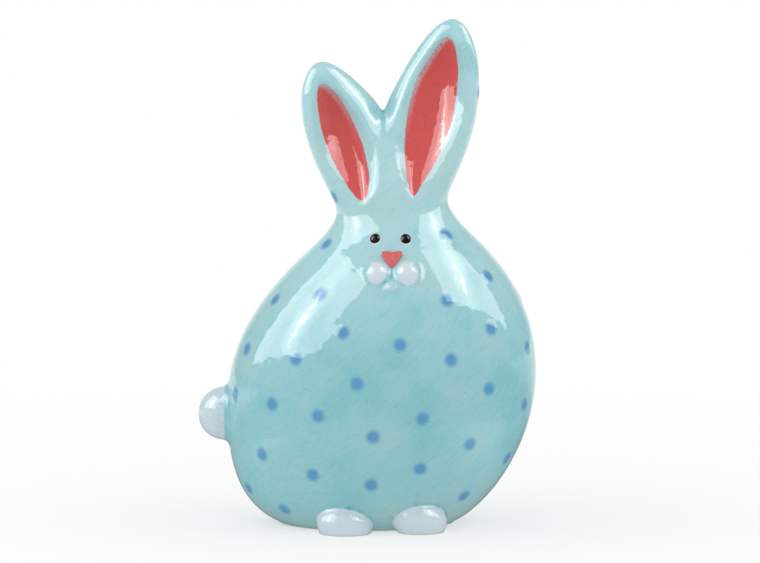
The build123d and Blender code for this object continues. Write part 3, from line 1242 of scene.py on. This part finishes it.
class RABBIT_OT_muzzle(bpy.types.Operator):
    """Cut the cheeks and the chin out of the skin"""

    bl_idname = "rabbit.muzzle"
    bl_label = "Cheeks and chin"

    def execute(self, context):
        white_pieces(("left_cheek", "right_cheek", "chin"), (0, 1.5 * MM, 0))
        return {"FINISHED"}


class RABBIT_OT_body(bpy.types.Operator):
    """Finish what is left of the skin as the body"""

    bl_idname = "rabbit.body"
    bl_label = "Body"

    def execute(self, context):
        body = the_skin()
        shade_as_skin(body)
        hand_over(body, "body_glazed", "turquoise_glaze", "body_shell")
        return {"FINISHED"}


class RABBIT_OT_nose(bpy.types.Operator):
    """Round the nose into a soft pad"""

    bl_idname = "rabbit.nose"
    bl_label = "Nose"

    def execute(self, context):
        sizes = context.scene.rabbit_sizes
        nose = copy_of_parts(("nose",), "nose_pad")
        apply_modifier(nose, "REMESH", mode="VOXEL", voxel_size=0.14 * MM)
        smooth(nose, 18)
        low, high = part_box("nose")
        middle = middle_of("nose")
        stretch(nose, (1.05, 0.8, sizes.nose_stretch), (middle.x, high.y, low.z))
        points = positions(nose.data)
        across = (points[:, 0] - middle.x) / (high.x - low.x)
        dip = np.exp(-(((across - 0.05) / 0.16) ** 2)) * rise(points[:, 2], middle.z, high.z)
        displace(nose, "dip", dip, -sizes.nose_dip, "Z")
        bpy.ops.object.shade_smooth()
        for name, value in (("coral_inside", 5.0), ("coral_dry", 0.18), ("eye_distance", FAR), ("curvature", 0.0)):
            store(nose.data, name, np.full(len(nose.data.vertices), value))
        hand_over(nose, "nose_glazed", "coral_glaze", "nose")
        return {"FINISHED"}


class RABBIT_OT_eyes(bpy.types.Operator):
    """Model the two eyes as drops of black glaze"""

    bl_idname = "rabbit.eyes"
    bl_label = "Eyes"

    def execute(self, context):
        for eye in EYES:
            drop = copy_of_parts((eye,), f"{eye}_drop")
            apply_modifier(drop, "REMESH", mode="VOXEL", voxel_size=0.08 * MM)
            smooth(drop, 6)
            stretch(drop, (1, 1, context.scene.rabbit_sizes.eye_stretch), middle_of(eye))
            bpy.ops.object.shade_smooth()
            hand_over(drop, f"{eye}_glazed", "black_glaze", eye)
        return {"FINISHED"}


class RABBIT_OT_stage(bpy.types.Operator):
    """Set the floor, the soft boxes, the white surround and the camera"""

    bl_idname = "rabbit.stage"
    bl_label = "Stage"

    def execute(self, context):
        self.floor()
        self.surround(context)
        for side, (way, size, outwards, slant, tube) in SOFT_BOXES.items():
            self.soft_box(f"{side}_light", *way, LIGHT_DISTANCE, *size, LIGHT_LEVEL).visible_glossy = False
            front = self.soft_box(f"{side}_front", *way, FRONT_DISTANCE, *size, FRONT_LEVEL)
            front.visible_diffuse = False
            self.tube_glow(front.data, outwards, slant, *tube)
        self.camera(context)
        context.scene.view_settings.view_transform = "Standard"
        return {"FINISHED"}

    def floor(self):
        """Pale floor that keeps the shadow near the figure and is white further out.

        The glaze mirrors it as a grey table with a white sheet on it.
        """
        bpy.ops.object.select_all(action="DESELECT")
        bpy.ops.mesh.primitive_circle_add(vertices=96, radius=TABLE_RADIUS, fill_type="NGON")
        floor = bpy.context.object
        floor.name = "floor"
        material, shader, where = new_material("pale_floor")
        tree = material.node_tree
        fit(shader, {"Base Color": TABLE_GREY, "Roughness": 0.8, "Specular IOR Level": 0.2})
        place = axes(where)
        away = node(tree, "ShaderNodeVectorMath", operation="LENGTH", Vector=where).outputs["Value"]
        seen = node(tree, "ShaderNodeLightPath").outputs
        direct = larger(seen["Is Camera Ray"], seen["Is Transmission Ray"])
        share = larger(times(direct, ramp(away, 0.06, 0.32, 0.55, 1.0)), seen["Is Glossy Ray"])
        share = larger(share, times(seen["Is Diffuse Ray"], TABLE_GLOW))
        edge = plus(away, times(noise(where, 25), SHEET_WEAR))
        sheet = ramp(edge, SHEET_RADIUS * 1.19, SHEET_RADIUS * 1.09)
        sheet = times(sheet, ramp(absolute(minus(place["X"], SHEET_GAP_X)), 0.045, 0.09))
        sheet = times(sheet, ramp(place["Y"], 0.01, -0.02))
        sheet = larger(sheet, ramp(place["Y"], 0.06, 0.2))
        table = mixed(sheet, STUDIO_GREY, WHITE)
        glow = node(tree, "ShaderNodeEmission", Strength=1.0, Color=mixed(seen["Is Glossy Ray"], WHITE, table))
        mix = node(tree, "ShaderNodeMixShader")
        for socket, value in zip(mix.inputs, (share, shader.outputs[0], glow.outputs[0])):
            feed(socket, value)
        feed(tree.nodes["Material Output"].inputs["Surface"], mix.outputs[0])
        floor.data.materials.append(material)

    def surround(self, context):
        """Even light from all round, which the camera sees as white.

        The glaze mirrors it as grey walls with a white backdrop.
        """
        world = bpy.data.worlds.new("white_surround")
        context.scene.world = world
        world.use_nodes = True
        tree = world.node_tree
        seen = node(tree, "ShaderNodeLightPath").outputs
        ahead = axes(node(tree, "ShaderNodeTexCoord").outputs["Generated"])["Y"]
        direct = larger(seen["Is Camera Ray"], seen["Is Transmission Ray"])
        direct = larger(direct, times(seen["Is Glossy Ray"], ramp(ahead, 0.75, 0.98)))
        walls = mixed(seen["Is Glossy Ray"], SURROUND_LIGHT, STUDIO_GREY)
        feed(tree.nodes["Background"].inputs["Color"], mixed(direct, walls, WHITE))

    def soft_box(self, name, azimuth, elevation, roll, distance, width, height, brightness):
        """Area lamp that faces the figure; azimuth 0 is in front, and roll turns the lamp about its own axis."""
        lamp = bpy.data.lights.new(name, "AREA")
        lamp.shape = "RECTANGLE"
        lamp.size = width
        lamp.size_y = height
        lamp.energy = brightness * math.pi * width * height
        box = bpy.data.objects.new(name, lamp)
        turn = math.radians(azimuth)
        lift = math.radians(elevation)
        way = Vector((math.sin(turn) * math.cos(lift), -math.cos(turn) * math.cos(lift), math.sin(lift)))
        box.location = Vector(BOX_AIM) + way * distance
        box.rotation_euler = (way.to_track_quat("Z", "Y") @ Quaternion((0, 0, 1), math.radians(roll))).to_euler()
        box.visible_camera = False
        bpy.context.scene.collection.objects.link(box)
        return box

    def tube_glow(self, lamp, outwards, slant, across, along, reach):
        """Let the tube inside a soft box glow through its front, and cut the front's outer edge aslant."""
        lamp.use_nodes = True
        tree = lamp.node_tree
        spot = axes(node(tree, "ShaderNodeNewGeometry").outputs["Parametric"])
        out = times(minus(spot["X"], 0.5), outwards)
        edge = plus(out, times(spot["Y"], slant))
        off = absolute(minus(out, across))
        far = absolute(minus(spot["Y"], 0.5 + along))
        glow = times(ramp(off, GLOW_WIDTH, 0, 0, TUBE_GLOW), ramp(far, 0.6, 0, 0.3, 1))
        core = times(ramp(off, CORE_WIDTH, 0, 0, TUBE_CORE), ramp(far, reach * 1.8, 0))
        strength = times(plus(plus(glow, core), 1), ramp(edge, 0.5, 0.485))
        feed(tree.nodes["Emission"].inputs["Strength"], strength)

    def camera(self, context):
        """Camera where the photograph was taken."""
        lens = bpy.data.cameras.new("camera")
        lens.sensor_width = SENSOR_WIDTH
        lens.sensor_fit = "HORIZONTAL"
        lens.lens = SENSOR_WIDTH * CAMERA_DISTANCE / FRAME_SPAN
        lens.clip_start = 0.05
        lens.clip_end = 40
        camera = bpy.data.objects.new("camera", lens)
        camera.location = camera_axes()[0]
        camera.rotation_euler = (math.radians(90 - CAMERA_ELEVATION), 0, 0)
        context.scene.collection.objects.link(camera)
        context.scene.camera = camera


class RABBIT_PT_panel(bpy.types.Panel):
    """Sizes, colours and steps of the rabbit"""

    bl_label = "Glazed rabbit"
    bl_idname = "RABBIT_PT_panel"
    bl_space_type = "VIEW_3D"
    bl_region_type = "UI"
    bl_category = "Rabbit"

    def draw(self, context):
        layout = self.layout
        for group in (context.scene.rabbit_sizes, context.scene.rabbit_colours):
            column = layout.column()
            for name in group.bl_rna.properties.keys():
                if name not in ("rna_type", "name"):
                    column.prop(group, name)
        for step in STEPS:
            layout.operator(step.bl_idname)


STEPS = (
    RABBIT_OT_glazes,
    RABBIT_OT_skin,
    RABBIT_OT_linings,
    RABBIT_OT_ears,
    RABBIT_OT_tail,
    RABBIT_OT_toes,
    RABBIT_OT_muzzle,
    RABBIT_OT_body,
    RABBIT_OT_nose,
    RABBIT_OT_eyes,
    RABBIT_OT_stage,
)
CLASSES = (RabbitSizes, RabbitColours, *STEPS, RABBIT_PT_panel)


def register():
    """Register the add-on's classes and settings."""
    for cls in CLASSES:
        bpy.utils.register_class(cls)
    bpy.types.Scene.rabbit_sizes = PointerProperty(type=RabbitSizes)
    bpy.types.Scene.rabbit_colours = PointerProperty(type=RabbitColours)


def unregister():
    """Remove the add-on's classes and settings."""
    del bpy.types.Scene.rabbit_colours
    del bpy.types.Scene.rabbit_sizes
    for cls in reversed(CLASSES):
        bpy.utils.unregister_class(cls)


def main():
    """Make the rabbit step by step."""
    register()
    bpy.ops.rabbit.glazes()
    bpy.ops.rabbit.skin()
    bpy.ops.rabbit.linings()
    bpy.ops.rabbit.ears()
    bpy.ops.rabbit.tail()
    bpy.ops.rabbit.toes()
    bpy.ops.rabbit.muzzle()
    bpy.ops.rabbit.body()
    bpy.ops.rabbit.nose()
    bpy.ops.rabbit.eyes()
    bpy.ops.rabbit.stage()


if __name__ == "__main__":
    main()
